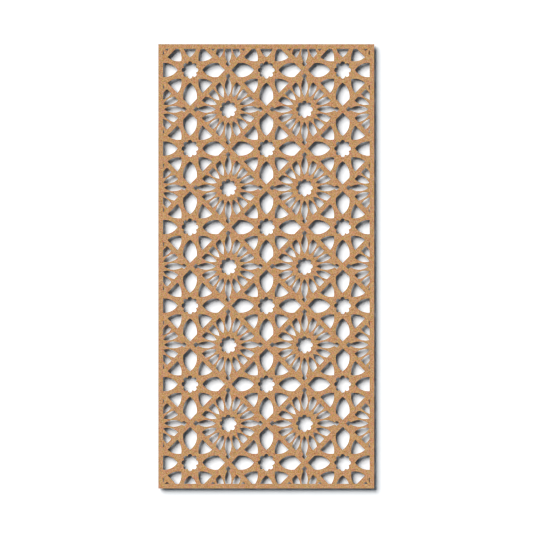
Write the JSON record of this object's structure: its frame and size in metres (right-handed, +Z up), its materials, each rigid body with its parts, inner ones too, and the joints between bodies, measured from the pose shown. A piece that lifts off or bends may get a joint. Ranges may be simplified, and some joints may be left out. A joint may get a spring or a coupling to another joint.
{
  "type": "pierced lattice screen panel",
  "caption": "Tall flat screen cut from one sheet of fibreboard, pierced all over with rosettes and stars between slanting straps inside a plain border.",
  "frame": {"origin": "centre of the back face, where two straps cross", "axes": "+Z up along the height, +X along the width, +Y out of the back face, so the front faces -Y"},
  "size_m": [1.186, 0.012, 2.44],
  "materials": {
    "fibreboard": "bare sanded fibreboard, matt, with slightly darker cut edges"
  },
  "bodies": {
    "root": {"screen_panel": "fibreboard"}
  },
  "joints": []
}
